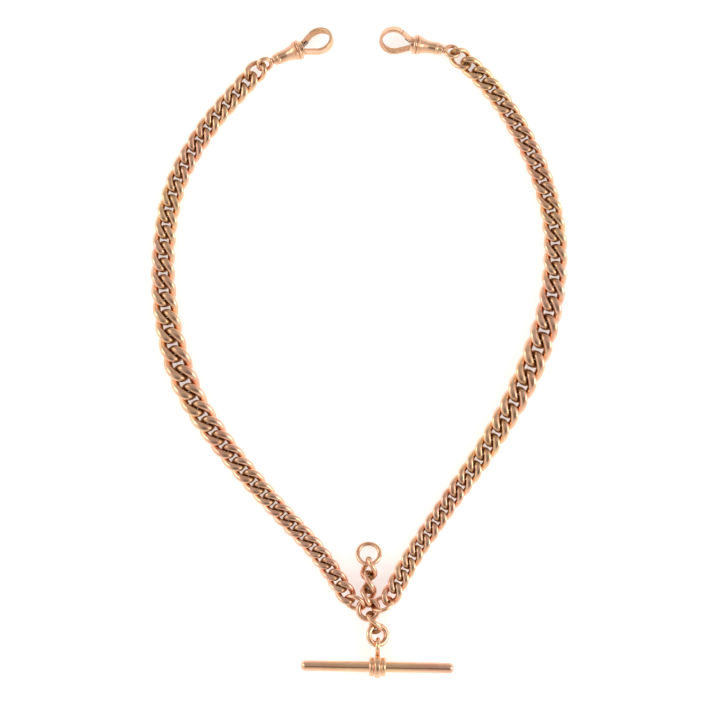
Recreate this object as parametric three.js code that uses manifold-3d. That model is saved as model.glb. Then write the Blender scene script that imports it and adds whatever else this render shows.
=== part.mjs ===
// A double Albert pocket watch chain in rose gold, laid flat.
// Two graduated curb chains join a pair of dog clips to a centre ring. A short fob drop lies upwards from
// the centre (+Y) and a T-bar drop lies downwards (-Y). Millimetres, +Z up, lowest points at Z = 0.
import * as THREE from 'three';
import Module from 'manifold-3d';
import { mergeVertices } from 'three/addons/utils/BufferGeometryUtils.js';

const wasm = await Module();
wasm.setup();

// Curb links. The largest link's sizes; every other link is the same shape, scaled down towards both ends.
const CURB_LINKS = 38; // on each side, counted from the clip
const LINKS_IN_RUN = 3; // neighbouring links joined in one solid
const LARGEST_LINK = 20.5; // where along the chain the largest link falls
const LINK_PITCH = 5.06; // length inside the link
const LINK_WIDTH = 6.9; // over the wire
const LINK_WIRE = 2.0; // wire diameter
const CLIP_END_SCALE = 0.725;
const CENTRE_END_SCALE = 0.69;
const TAPER_POWER = 2.6; // how sharply the links grow near the largest one
const LINK_TWIST = THREE.MathUtils.degToRad(-108); // from one end of a link to the other
const LINK_SQUARENESS = 2.5; // 2 is an ellipse, more is squarer
const PRESSED_FLAT = 0.07; // share of the wire pressed flat on a link's top and underside

// Clearances.
const LINK_PLAY = 0.2; // between two links that move on each other
const RUN_OVERLAP = 0.3; // between two links joined in one run
const PLAY = 0.2; // between other moving metal pieces
const SEAT = 0.1; // round a piece that is fixed in another

// Rings and drop links.
const CENTRE_RING = { outer: 6.3, wire: 1.35 };
const JUMP_RING = { outer: 6.1, wire: 1.1 };
const FOB_RING = { outer: 6.6, wire: 1.1 };
const T_DROP_RING = { outer: 6.2, wire: 1.45 };
const FOB_LINK = { pitch: 3.4, width: 5.0, wire: 1.25 };
const END_LINK = { pitch: 3.8, width: 5.4, wire: 1.25 }; // through the clip's eye
const T_DROP_LINK = { pitch: 3.6, width: 4.7, wire: 1.2 };

// T-bar.
const BAR_LENGTH = 38.2;
const BAR_DIAMETER = 2.7;
const BAR_END_FLAT = 1.0; // diameter of the flat at the tip of each domed end
const BAND_OUTER = 5.85;
const BAND_WIDTH = 1.4;
const BAIL_EYE = { outer: 4.7, wire: 1.2 };
const BAIL_REACH = 5.1; // from the bar's axis to the middle of the bail's eye
const COLLAR_OUTER = 4.9;
const COLLAR_WIDTH = 1.1;

// Dog clip, measured along its axis from the middle of the swivel eye.
const CLIP_EYE = { outer: 4.3, wire: 1.05 };
const BARREL_START = 2.4;
const BARREL_END = 9.8;
const BARREL_SMALL = 1.3; // outer radius at the small end
const BARREL_MOUTH = 2.3; // outer radius at the mouth
const BARREL_BEAD = 2.55; // radius over the mouth's beads
const BARREL_BORE = 1.15; // inner radius round the stem's head
const STEM_RADIUS = 0.55;
const CLIP_ROLL = THREE.MathUtils.degToRad(35); // between the loop's plane and the ground
const LOOP_RADIUS = 3.2; // of the round end of the hook, to the middle of the strip
const LOOP_LENGTH = 8.6; // from the barrel's mouth to the tip
const STRIP_THICKNESS = 0.8;
const STRIP_WIDTH = 2.0;
const ROOT_SPREAD = 0.75; // from the clip's axis to the strip where it leaves the root
const ROOT_RADIUS = 1.85;
const ROOT_SHOWING = 0.85; // how far the root stands out of the barrel
const PIN_RADIUS = 0.25;
const KNUCKLE_RADIUS = 0.55;
const KNUCKLE_WIDTH = 1.1;
const SPRING_THICKNESS = 0.2;
const SPRING_LENGTH = 2.6;

// How the centre pieces lie. Headings are round +Z, in degrees from +X. A bend is the angle, in a ring's own
// plane, from straight on to the place where the next piece hangs.
const CENTRE_HEIGHT = 2.62;
const JUMP_RING_TILT = -55; // about the line from the centre ring
const FOB_DROP = { heading: 89, turnEach: 0.5, fall: 0.5, rolls: [58, 94, 130], ringFall: 24 };
const T_DROP = { heading: -70, fall: 2, roll: 78, ringTilt: -24, ringBend: -20 };
const BAR_HEADING = -1;

// The two sides: how the jump ring lies, the route of the chain from there out to the clip, as offsets in
// X and Y, and how the clip lies.
const SIDES = {
  left: {
    ringHeading: 154,
    ringBend: -20,
    route: [[0, 0], [-7.5, 11], [-18.5, 23], [-30, 36.5], [-39.5, 50.5], [-45, 67], [-46.5, 85],
      [-43.5, 103], [-35.5, 117.5], [-27, 127.5], [-22, 133]],
    clipHeading: 23,
    eyeBend: 0,
    gateUp: false,
  },
  right: {
    ringHeading: 21,
    ringBend: 15,
    route: [[0, 0], [6, 11], [15.5, 25], [25.5, 39.5], [34.5, 56], [40, 72], [41.5, 90], [38.5, 104],
      [31.5, 119], [22.5, 131], [16.5, 136]],
    clipHeading: 169.5,
    eyeBend: 35,
    gateUp: true,
  },
};
const EYE_ROLL = 36; // turns the clip's eye across the end link
const LANDING_LINKS = 6; // links over which a chain comes down from its jump ring

const CHAIN_FACETS = { along: 10, around: 6 };
const RING_FACETS = { along: 20, around: 6 };

const X_AXIS = new THREE.Vector3(1, 0, 0);
const Z_AXIS = new THREE.Vector3(0, 0, 1);
const GOLD = { color: 0xc98a62, roughness: 0.28, metalness: 1 };
const DARK_GOLD = { color: 0x9c6a45, roughness: 0.4, metalness: 1 };
const STEEL = { color: 0x8d8a86, roughness: 0.4, metalness: 1 };

const radians = THREE.MathUtils.degToRad;

// ---- Joining and cutting ----

function toSolid(geometry) {
  const bare = geometry.clone();
  bare.deleteAttribute('normal');
  bare.deleteAttribute('uv');
  const merged = mergeVertices(bare, 1e-4);
  return new wasm.Manifold(new wasm.Mesh({
    numProp: 3,
    vertProperties: new Float32Array(merged.attributes.position.array),
    triVerts: new Uint32Array(merged.index.array),
  }));
}

function toGeometry(solid) {
  const mesh = solid.getMesh();
  const geometry = new THREE.BufferGeometry();
  geometry.setAttribute('position', new THREE.BufferAttribute(new Float32Array(mesh.vertProperties), 3));
  geometry.setIndex(new THREE.BufferAttribute(new Uint32Array(mesh.triVerts), 1));
  geometry.computeVertexNormals();
  return geometry;
}

function join(geometries) {
  const [first, ...rest] = geometries.map(toSolid);
  return toGeometry(rest.reduce((whole, piece) => whole.add(piece), first));
}

function cut(geometry, tools) {
  return toGeometry(tools.reduce((left, tool) => left.subtract(toSolid(tool)), toSolid(geometry)));
}

function namedMesh(name, geometry, look = GOLD) {
  const mesh = new THREE.Mesh(geometry, new THREE.MeshStandardMaterial(look));
  mesh.name = name;
  return mesh;
}

// ---- Rings and twisted links ----

function ringGeometry({ outer, wire }, facets = RING_FACETS) {
  return new THREE.TorusGeometry((outer - wire) / 2, wire / 2, facets.around, facets.along);
}

function squared(value) {
  return Math.sign(value) * Math.abs(value) ** (2 / LINK_SQUARENESS);
}

// The middle line of a link: an oval along X, twisted about X.
class TwistedOval extends THREE.Curve {
  constructor(halfLength, halfWidth) {
    super();
    this.halfLength = halfLength;
    this.halfWidth = halfWidth;
  }

  getPoint(share, target = new THREE.Vector3()) {
    const angle = share * 2 * Math.PI;
    const forward = squared(Math.cos(angle));
    const side = this.halfWidth * squared(Math.sin(angle));
    const twist = (LINK_TWIST / 2) * forward;
    return target.set(this.halfLength * forward, side * Math.cos(twist), side * Math.sin(twist));
  }
}

// How far a twisted link's middle line rises above the link's own middle, as a share of its half width.
const TWIST_RISE = Math.max(...Array.from({ length: 90 }, (_, degree) => {
  const angle = radians(degree);
  return squared(Math.sin(angle)) * Math.abs(Math.sin((LINK_TWIST / 2) * squared(Math.cos(angle))));
}));

function linkHalfHeight({ width, wire }) {
  return TWIST_RISE * (width - wire) / 2 + wire / 2 - PRESSED_FLAT * wire;
}

// before and after are how far the wire's middle goes past the pitch at each end.
function linkGeometry(size, before, after) {
  const { pitch, width, wire } = size;
  const halfLength = (pitch + before + after) / 2;
  const oval = new TwistedOval(halfLength, (width - wire) / 2);
  const geometry = new THREE.TubeGeometry(oval, CHAIN_FACETS.along, wire / 2, CHAIN_FACETS.around, true);
  geometry.translate((after - before) / 2, 0, 0);
  const limit = linkHalfHeight(size);
  const position = geometry.attributes.position;
  for (let i = 0; i < position.count; i += 1) {
    position.setZ(i, THREE.MathUtils.clamp(position.getZ(i), -limit, limit));
  }
  return geometry;
}

// ---- The two curb chains ----

function linkSize(number) {
  const towardsClip = number < LARGEST_LINK;
  const endScale = towardsClip ? CLIP_END_SCALE : CENTRE_END_SCALE;
  const span = towardsClip ? LARGEST_LINK - 1 : CURB_LINKS - LARGEST_LINK;
  const nearness = 1 - Math.min(1, Math.abs(number - LARGEST_LINK) / span);
  const scale = endScale + (1 - endScale) * nearness ** TAPER_POWER;
  return { pitch: LINK_PITCH * scale, width: LINK_WIDTH * scale, wire: LINK_WIRE * scale };
}

// Every link of a side from the centre outwards, the end link (number 0) last.
function chainSizes() {
  const sizes = [];
  for (let number = CURB_LINKS; number >= 1; number -= 1) {
    sizes.push({ number, ...linkSize(number) });
  }
  return [...sizes, { number: 0, ...END_LINK }];
}

// The points where neighbouring links touch, one pitch apart along the route. The route is drawn to the
// chain's own length, and comes down from the jump ring over the first links.
function touchingPoints(side, sizes, start) {
  const corners = side.route.map(([x, y]) => new THREE.Vector3(x, y, 0));
  const drawn = new THREE.CatmullRomCurve3(corners);
  drawn.arcLengthDivisions = 800;
  const length = sizes.reduce((sum, { pitch }) => sum + pitch, 0);
  const scale = length / drawn.getLength();
  const points = [];
  let travelled = 0;
  for (let i = 0; i <= sizes.length; i += 1) {
    const point = drawn.getPointAt(Math.min(1, travelled / length)).multiplyScalar(scale);
    const nearest = sizes[Math.min(i, sizes.length - 1)];
    const landed = THREE.MathUtils.smoothstep(i, 0, LANDING_LINKS);
    point.x += start.x;
    point.y += start.y;
    point.z = THREE.MathUtils.lerp(start.z, linkHalfHeight(nearest), landed);
    points.push(point);
    travelled += nearest.pitch;
  }
  points.at(-1).z = CLIP_EYE_HEIGHT + eyeContact(side).z;
  return points;
}

function alongFrame(from, to) {
  const forward = to.clone().sub(from).normalize();
  const sideways = Z_AXIS.clone().cross(forward).normalize();
  const up = forward.clone().cross(sideways);
  return new THREE.Matrix4().makeBasis(forward, sideways, up).setPosition(from.clone().lerp(to, 0.5));
}

function buildChain(sideName, side, start) {
  const sizes = chainSizes();
  const points = touchingPoints(side, sizes, start);
  const meshes = [];
  const runs = [];
  let links = [];
  sizes.forEach((size, i) => {
    const isEndLink = size.number === 0;
    const startsRun = links.length === 0;
    const endsRun = isEndLink || size.number % LINKS_IN_RUN === 1 || size.number === 1;
    const before = size.wire / 2 + (startsRun ? LINK_PLAY : -RUN_OVERLAP) / 2;
    const after = size.wire / 2 + (endsRun ? LINK_PLAY : -RUN_OVERLAP) / 2;
    const frame = alongFrame(points[i], points[i + 1]);
    const geometry = linkGeometry(size, before, after).applyMatrix4(frame);
    links.push({ geometry, size, frame, from: points[i], to: points[i + 1], before });
    if (endsRun) {
      runs.push({ links, isEndLink });
      links = [];
    }
  });
  runs.forEach((run, i) => {
    const number = runs.length - 1 - i;
    const name = run.isEndLink ? `${sideName}_end_link`
      : `${sideName}_curb_run_${String(number).padStart(2, '0')}`;
    const mesh = namedMesh(name, join(run.links.map(({ geometry }) => geometry)));
    mesh.userData.links = run.links.map(({ size, frame }) => ({ size, frame: frame.toArray() }));
    mesh.userData.touch = run.links[0].from.toArray();
    mesh.userData.end = run.links.at(-1).to.toArray();
    meshes.push(mesh);
  });
  return { meshes, end: points.at(-1) };
}

// ---- Dog clip, along +X from the middle of its swivel eye, with its loop in the XY plane ----

function turned(outline, facets) {
  const profile = outline.map(([radius, along]) => new THREE.Vector2(radius, along));
  return new THREE.LatheGeometry(profile, facets).rotateZ(-Math.PI / 2);
}

function rod(radius, from, to, facets = 12) {
  return new THREE.CylinderGeometry(radius, radius, to - from, facets)
    .rotateZ(-Math.PI / 2).translate((from + to) / 2, 0, 0);
}

const EYE_MIDDLE = (CLIP_EYE.outer - CLIP_EYE.wire) / 2;
const NECK_RADIUS = STEM_RADIUS + PLAY;
const NECK_END = BARREL_START + 0.7;
const HEAD_START = NECK_END + PLAY;
const HEAD_END = HEAD_START + 0.55;
const ROOT_START = BARREL_END - 0.5;
const ROOT_END = BARREL_END + ROOT_SHOWING;
const LOOP_TIP = BARREL_END + LOOP_LENGTH;
const LOOP_MIDDLE = LOOP_TIP - LOOP_RADIUS - STRIP_THICKNESS / 2;
const STRIP_START = BARREL_END + 0.1;

// A clip lies on its barrel's mouth and on the lower edge of its rolled loop, so its axis rises a little.
const LOOP_REST = (LOOP_RADIUS + STRIP_THICKNESS / 2) * Math.sin(CLIP_ROLL)
  + (STRIP_WIDTH / 2) * Math.cos(CLIP_ROLL);
const CLIP_RISE = Math.atan((LOOP_REST - BARREL_BEAD) / (LOOP_MIDDLE - BARREL_END + 1));
const CLIP_EYE_HEIGHT = BARREL_BEAD - Math.tan(CLIP_RISE) * (BARREL_END - 1);

// The strip leaves the root in a straight line that runs into the round end as a tangent.
const ROOT_REACH = Math.hypot(LOOP_MIDDLE - STRIP_START, ROOT_SPREAD);
const STRIP_SLOPE = Math.asin(LOOP_RADIUS / ROOT_REACH) - Math.atan2(ROOT_SPREAD, LOOP_MIDDLE - STRIP_START);
const TANGENT_ANGLE = STRIP_SLOPE + Math.PI / 2;
const NOSE_ANGLE = TANGENT_ANGLE - radians(4);

// Where the end link pulls on the eye, in the clip's own axes.
function eyeContact(side) {
  const reach = EYE_MIDDLE - (CLIP_EYE.wire + LINK_PLAY) / 2;
  const bend = radians(side.eyeBend);
  const roll = radians(EYE_ROLL);
  return new THREE.Vector3(-Math.cos(bend), Math.sin(bend) * Math.cos(roll), Math.sin(bend) * Math.sin(roll))
    .multiplyScalar(reach);
}

function swivelEye() {
  const eye = ringGeometry(CLIP_EYE, { along: 16, around: 6 });
  const stem = rod(STEM_RADIUS, EYE_MIDDLE, HEAD_END - 0.1);
  const head = rod(BARREL_BORE - PLAY, HEAD_START, HEAD_END);
  return join([eye, stem, head]);
}

function barrel() {
  const mouthBore = ROOT_RADIUS + SEAT;
  return turned([
    [NECK_RADIUS, BARREL_START],
    [BARREL_SMALL, BARREL_START],
    [BARREL_SMALL + 0.1, BARREL_START + 1.2],
    [BARREL_SMALL + 0.3, BARREL_START + 1.4],
    [BARREL_SMALL + 0.3, BARREL_START + 1.65],
    [BARREL_SMALL + 0.15, BARREL_START + 1.85],
    [BARREL_SMALL + 0.25, BARREL_START + 3.6],
    [(BARREL_SMALL + BARREL_MOUTH) / 2 + 0.1, BARREL_END - 2.4],
    [BARREL_MOUTH - 0.1, BARREL_END - 1.55],
    [BARREL_BEAD, BARREL_END - 1.35],
    [BARREL_BEAD, BARREL_END - 1.05],
    [BARREL_MOUTH, BARREL_END - 0.85],
    [BARREL_BEAD, BARREL_END - 0.65],
    [BARREL_BEAD, BARREL_END - 0.25],
    [BARREL_MOUTH, BARREL_END],
    [mouthBore, BARREL_END],
    [mouthBore, ROOT_START - 0.2],
    [BARREL_BORE, BARREL_END - 2.6],
    [BARREL_BORE, NECK_END],
    [NECK_RADIUS, NECK_END],
    [NECK_RADIUS, BARREL_START],
  ], 14);
}

function onLoop(radius, angle) {
  return new THREE.Vector2(LOOP_MIDDLE + radius * Math.cos(angle), radius * Math.sin(angle));
}

// The pivot of the gate sits in the root, under the strip's upper line.
const PIVOT = new THREE.Vector2(STRIP_START + 0.3, ROOT_SPREAD + 0.1);

function hook() {
  const outer = LOOP_RADIUS + STRIP_THICKNESS / 2;
  const inner = LOOP_RADIUS - STRIP_THICKNESS / 2;
  const aside = new THREE.Vector2(Math.cos(TANGENT_ANGLE), -Math.sin(TANGENT_ANGLE));
  const start = new THREE.Vector2(STRIP_START, -ROOT_SPREAD);
  const low = start.clone().addScaledVector(aside, STRIP_THICKNESS / 2);
  const high = start.clone().addScaledVector(aside, -STRIP_THICKNESS / 2);
  const outline = new THREE.Shape();
  outline.moveTo(low.x, low.y);
  outline.lineTo(...onLoop(outer, -TANGENT_ANGLE));
  outline.absarc(LOOP_MIDDLE, 0, outer, -TANGENT_ANGLE, NOSE_ANGLE, false);
  outline.lineTo(...onLoop(inner, NOSE_ANGLE));
  outline.absarc(LOOP_MIDDLE, 0, inner, NOSE_ANGLE, -TANGENT_ANGLE, true);
  outline.lineTo(high.x, high.y);
  const strip = new THREE.ExtrudeGeometry(outline, {
    depth: STRIP_WIDTH, bevelEnabled: false, curveSegments: 12,
  }).translate(0, 0, -STRIP_WIDTH / 2);
  const root = rod(ROOT_RADIUS, ROOT_START, ROOT_END, 16);
  const slotWidth = KNUCKLE_WIDTH + 2 * PLAY;
  const slot = new THREE.BoxGeometry(4, 4, slotWidth);
  slot.translate(PIVOT.x - KNUCKLE_RADIUS - PLAY + 2, PIVOT.y - KNUCKLE_RADIUS - 0.55 + 2, 0);
  const pinHole = new THREE.CylinderGeometry(PIN_RADIUS + SEAT, PIN_RADIUS + SEAT, 6, 10)
    .rotateX(Math.PI / 2).translate(PIVOT.x, PIVOT.y, 0);
  return join([cut(root, [slot, pinHole]), strip]);
}

function gate() {
  const end = onLoop(LOOP_RADIUS, TANGENT_ANGLE);
  const along = end.clone().sub(PIVOT);
  const length = along.length() - PLAY;
  const leaf = new THREE.BoxGeometry(length - KNUCKLE_RADIUS - PLAY, STRIP_THICKNESS, STRIP_WIDTH - PLAY);
  leaf.translate((length + KNUCKLE_RADIUS + PLAY) / 2, 0, 0);
  const neck = new THREE.BoxGeometry(KNUCKLE_RADIUS + 2 * PLAY + 0.3, STRIP_THICKNESS, KNUCKLE_WIDTH);
  neck.translate((KNUCKLE_RADIUS + 2 * PLAY + 0.3) / 2, 0, 0);
  const knuckle = new THREE.CylinderGeometry(KNUCKLE_RADIUS, KNUCKLE_RADIUS, KNUCKLE_WIDTH, 14)
    .rotateX(Math.PI / 2);
  const bore = new THREE.CylinderGeometry(PIN_RADIUS + SEAT, PIN_RADIUS + SEAT, 6, 10).rotateX(Math.PI / 2);
  return cut(join([leaf, neck, knuckle]), [bore])
    .rotateZ(along.angle()).translate(PIVOT.x, PIVOT.y, 0);
}

function gatePin() {
  return new THREE.CylinderGeometry(PIN_RADIUS, PIN_RADIUS, 2.6, 10)
    .rotateX(Math.PI / 2).translate(PIVOT.x, PIVOT.y, 0);
}

function gateSpring() {
  const slope = STRIP_SLOPE - radians(2);
  return new THREE.BoxGeometry(SPRING_LENGTH, SPRING_THICKNESS, KNUCKLE_WIDTH - 2 * SEAT)
    .translate(SPRING_LENGTH / 2, 0, 0).rotateZ(slope)
    .translate(PIVOT.x - 0.35, PIVOT.y - KNUCKLE_RADIUS - 0.4, 0);
}

function buildClip(sideName, side, end) {
  const clip = new THREE.Group();
  clip.rotation.set(0, -CLIP_RISE, radians(side.clipHeading), 'ZYX');
  clip.position.copy(end).sub(eyeContact(side).applyEuler(clip.rotation));

  const eye = namedMesh(`${sideName}_swivel_eye`, swivelEye());
  eye.rotation.x = radians(EYE_ROLL);
  clip.add(eye);

  const body = new THREE.Group();
  body.rotation.x = side.gateUp ? Math.PI - CLIP_ROLL : -CLIP_ROLL;
  body.add(namedMesh(`${sideName}_clip_barrel`, barrel()));
  body.add(namedMesh(`${sideName}_clip_hook`, hook()));
  body.add(namedMesh(`${sideName}_clip_gate`, gate()));
  body.add(namedMesh(`${sideName}_gate_pin`, gatePin(), DARK_GOLD));
  body.add(namedMesh(`${sideName}_gate_spring`, gateSpring(), STEEL));
  clip.add(body);
  return clip;
}

// ---- T-bar ----

function tBar() {
  const end = BAR_LENGTH / 2;
  const radius = BAR_DIAMETER / 2;
  const flat = BAR_END_FLAT / 2;
  return turned([
    [0, -end],
    [flat, -end],
    [radius * 0.75, -end + radius * 0.2],
    [radius, -end + radius * 0.6],
    [radius, end - radius * 0.6],
    [radius * 0.75, end - radius * 0.2],
    [flat, end],
    [0, end],
  ], 16);
}

function band(inner, outer, width, facets = 20) {
  const chamfer = Math.min(0.3, width / 4);
  return turned([
    [inner, -width / 2],
    [outer - chamfer, -width / 2],
    [outer, -width / 2 + chamfer],
    [outer, width / 2 - chamfer],
    [outer - chamfer, width / 2],
    [inner, width / 2],
    [inner, -width / 2],
  ], facets);
}

function bail() {
  const eye = ringGeometry(BAIL_EYE, { along: 18, around: 6 }).rotateY(Math.PI / 2).translate(0, BAIL_REACH, 0);
  const ring = band(BAR_DIAMETER / 2 + PLAY, BAND_OUTER / 2, BAND_WIDTH);
  const bore = rod(BAR_DIAMETER / 2 + PLAY, -BAND_WIDTH * 2, BAND_WIDTH * 2, 20);
  return cut(join([ring, eye]), [bore]);
}

function collar() {
  return band(BAR_DIAMETER / 2 + SEAT, COLLAR_OUTER / 2, COLLAR_WIDTH);
}

function buildBar(eyeMiddle) {
  const bar = new THREE.Group();
  const droop = Math.asin((BAND_OUTER / 2 - eyeMiddle.z) / BAIL_REACH);
  const heading = radians(BAR_HEADING);
  const reach = BAIL_REACH * Math.cos(droop);
  bar.position.set(reach * Math.sin(heading), -reach * Math.cos(heading), 0).add(eyeMiddle);
  bar.position.z = BAND_OUTER / 2;
  bar.rotation.z = heading;
  bar.add(namedMesh('t_bar', tBar()));
  const collarPlace = (BAND_WIDTH + COLLAR_WIDTH) / 2 + PLAY;
  for (const [sideName, way] of [['left', -1], ['right', 1]]) {
    const ring = namedMesh(`t_bar_collar_${sideName}`, collar());
    ring.position.x = way * collarPlace;
    bar.add(ring);
  }
  const hanger = namedMesh('t_bar_bail', bail());
  hanger.rotation.x = -droop;
  bar.add(hanger);
  return bar;
}

// ---- Centre ----

// From the middle of a ring to the place, inside its wire, where the next piece pulls on it.
function pullRadius({ outer, wire }) {
  return outer / 2 - wire - LINK_PLAY / 2;
}

function towards(heading, fall) {
  return new THREE.Vector3(1, 0, 0).applyEuler(new THREE.Euler(0, radians(fall), radians(heading), 'ZYX'));
}

function layRing(name, ring, middle, heading, fall, tilt) {
  const mesh = namedMesh(name, join([ringGeometry(ring)]));
  mesh.position.copy(middle);
  mesh.rotation.set(radians(tilt), radians(fall), radians(heading), 'ZYX');
  return mesh;
}

// Where the next piece pulls on a laid ring.
function pullOn(mesh, ring, bend) {
  const angle = radians(bend);
  return new THREE.Vector3(Math.cos(angle), Math.sin(angle), 0).multiplyScalar(pullRadius(ring))
    .applyEuler(mesh.rotation).add(mesh.position);
}

function layLink(name, size, from, to, roll) {
  const past = (size.wire + LINK_PLAY) / 2;
  const mesh = namedMesh(name, join([linkGeometry(size, past, past)]));
  const frame = alongFrame(from, to).multiply(new THREE.Matrix4().makeRotationX(radians(roll)));
  mesh.applyMatrix4(frame);
  mesh.userData.from = from.toArray();
  mesh.userData.to = to.toArray();
  return mesh;
}

function buildFobDrop(middle) {
  const { heading, turnEach, fall, rolls, ringFall } = FOB_DROP;
  const meshes = [];
  let from = middle.clone().addScaledVector(towards(heading, 0), pullRadius(CENTRE_RING));
  rolls.forEach((roll, i) => {
    const to = from.clone().addScaledVector(towards(heading + i * turnEach, fall), FOB_LINK.pitch);
    meshes.push(layLink(`fob_link_${rolls.length - i}`, FOB_LINK, from, to, roll));
    from = to;
  });
  const ringHeading = heading + rolls.length * turnEach;
  const ringMiddle = from.clone().addScaledVector(towards(ringHeading, ringFall), pullRadius(FOB_RING));
  meshes.push(layRing('fob_ring', FOB_RING, ringMiddle, ringHeading, ringFall, 0));
  return meshes;
}

// The T-bar's drop ring lies level, and the bail's eye hangs in it square to it.
function buildTDrop(middle) {
  const { heading, fall, roll, ringTilt, ringBend } = T_DROP;
  const from = middle.clone().addScaledVector(towards(heading, 0), pullRadius(CENTRE_RING));
  const to = from.clone().addScaledVector(towards(heading, fall), T_DROP_LINK.pitch);
  const ringMiddle = to.clone().addScaledVector(towards(heading, 0), pullRadius(T_DROP_RING));
  const ring = layRing('t_drop_ring', T_DROP_RING, ringMiddle, heading, 0, ringTilt);
  const eyeMiddle = pullOn(ring, T_DROP_RING, ringBend)
    .addScaledVector(towards(BAR_HEADING - 90, 0), pullRadius(BAIL_EYE) + LINK_PLAY);
  return [layLink('t_drop_link', T_DROP_LINK, from, to, roll), ring, buildBar(eyeMiddle)];
}

function buildSide(sideName, side, middle) {
  const { ringHeading, ringBend } = side;
  const ringMiddle = middle.clone().addScaledVector(
    towards(ringHeading, 0), pullRadius(CENTRE_RING) + pullRadius(JUMP_RING) + LINK_PLAY);
  const ring = layRing(`${sideName}_jump_ring`, JUMP_RING, ringMiddle, ringHeading, 0, JUMP_RING_TILT);
  const half = buildChain(sideName, side, pullOn(ring, JUMP_RING, ringBend));
  return [ring, ...half.meshes, buildClip(sideName, side, half.end)];
}

// ---- Assembly ----

const middle = new THREE.Vector3(0, 0, CENTRE_HEIGHT);
const chain = new THREE.Group();
chain.add(layRing('centre_ring', CENTRE_RING, middle, 0, 0, 0));
for (const [sideName, side] of Object.entries(SIDES)) {
  chain.add(...buildSide(sideName, side, middle));
}
chain.add(...buildFobDrop(middle), ...buildTDrop(middle));

const extent = new THREE.Box3().setFromObject(chain, true);
const origin = extent.getCenter(new THREE.Vector3()).setZ(extent.min.z);
chain.position.sub(origin);

export default chain;
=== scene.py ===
# A double Albert pocket watch chain in rose gold, laid flat and seen from straight above.
import math

import bmesh
import bpy
import numpy as np
from mathutils import Matrix, Vector


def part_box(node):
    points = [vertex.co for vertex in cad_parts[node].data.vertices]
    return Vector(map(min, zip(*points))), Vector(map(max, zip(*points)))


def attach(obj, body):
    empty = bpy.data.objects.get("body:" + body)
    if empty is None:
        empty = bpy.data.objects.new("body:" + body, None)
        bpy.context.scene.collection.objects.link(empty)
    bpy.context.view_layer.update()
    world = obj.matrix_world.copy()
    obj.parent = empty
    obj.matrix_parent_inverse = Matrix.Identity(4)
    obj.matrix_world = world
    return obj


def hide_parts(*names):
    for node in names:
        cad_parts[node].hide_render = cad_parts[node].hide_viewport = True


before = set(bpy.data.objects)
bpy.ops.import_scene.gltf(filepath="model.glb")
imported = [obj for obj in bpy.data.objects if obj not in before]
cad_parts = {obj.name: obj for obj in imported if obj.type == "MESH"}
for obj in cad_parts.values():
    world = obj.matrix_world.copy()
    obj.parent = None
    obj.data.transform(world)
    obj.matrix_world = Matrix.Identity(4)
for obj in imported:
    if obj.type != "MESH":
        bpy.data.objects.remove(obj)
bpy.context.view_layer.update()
MM = 0.001

# ---- Camera ----
# It looks straight down from well above with a long lens, so the chain shows with almost no perspective and
# its high and low parts are drawn to the same scale.
camera_height = 1200 * MM
view_width = 180 * MM
sensor_width = 36.0
camera_data = bpy.data.cameras.new("overhead_camera")
camera_data.sensor_width = sensor_width
camera_data.lens = sensor_width * camera_height / view_width
camera_data.clip_start = 0.05
camera_data.clip_end = 10.0
camera = bpy.data.objects.new("overhead_camera", camera_data)
camera.location = (0.2 * MM, -1.9 * MM, camera_height)
bpy.context.scene.collection.objects.link(camera)
bpy.context.scene.camera = camera

# ---- Floor ----
# A smooth sheet of white opal card, lit from below, that the chain lies on. It glows a little, so the shadows
# on it stay light.
CARD_COLOUR = (0.93, 0.925, 0.92, 1)
CARD_ROUGHNESS = 0.75
CARD_SHINE = 0.2
CARD_GLOW_COLOUR = (1.0, 0.99, 0.98, 1)
CARD_GLOW = 0.46
floor_half = 0.9
floor_mesh = bpy.data.meshes.new("white_card")
floor_mesh.from_pydata(
    [(-floor_half, -floor_half, 0), (floor_half, -floor_half, 0), (floor_half, floor_half, 0),
     (-floor_half, floor_half, 0)], [], [(0, 1, 2, 3)])
floor = bpy.data.objects.new("white_card", floor_mesh)
bpy.context.scene.collection.objects.link(floor)
card = bpy.data.materials.new("white_card")
card.use_nodes = True
card_shader = card.node_tree.nodes["Principled BSDF"]
card_shader.inputs["Base Color"].default_value = CARD_COLOUR
card_shader.inputs["Roughness"].default_value = CARD_ROUGHNESS
card_shader.inputs["Specular IOR Level"].default_value = CARD_SHINE
card_shader.inputs["Emission Color"].default_value = CARD_GLOW_COLOUR
card_shader.inputs["Emission Strength"].default_value = CARD_GLOW
floor_mesh.materials.append(card)

# ---- Light tent ----
# White walls that glow softly, dimmer at the back, under a dimmer roof with two soft lamps and a dark gap
# where the camera looks in, a little to the front. Two large panels stand outside at the sides.
bpy.context.scene.view_settings.view_transform = "Standard"
world = bpy.data.worlds.new("light_tent")
world.use_nodes = True
bpy.context.scene.world = world
tent = world.node_tree
sky = tent.nodes["Background"]
direction = tent.nodes.new("ShaderNodeTexCoord").outputs["Generated"]


def tent_patch(middle, inner, outer, amount):
    """1 away from a round patch of the tent, changing to amount inside it. The angles are in degrees."""
    facing = tent.nodes.new("ShaderNodeVectorMath")
    facing.operation = "DOT_PRODUCT"
    tent.links.new(direction, facing.inputs[0])
    facing.inputs[1].default_value = Vector(middle).normalized()
    fade = tent.nodes.new("ShaderNodeMapRange")
    fade.interpolation_type = "SMOOTHSTEP"
    tent.links.new(facing.outputs["Value"], fade.inputs["Value"])
    fade.inputs["From Min"].default_value = math.cos(math.radians(outer))
    fade.inputs["From Max"].default_value = math.cos(math.radians(inner))
    fade.inputs["To Min"].default_value = 1.0
    fade.inputs["To Max"].default_value = amount
    return fade.outputs["Result"]


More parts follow.
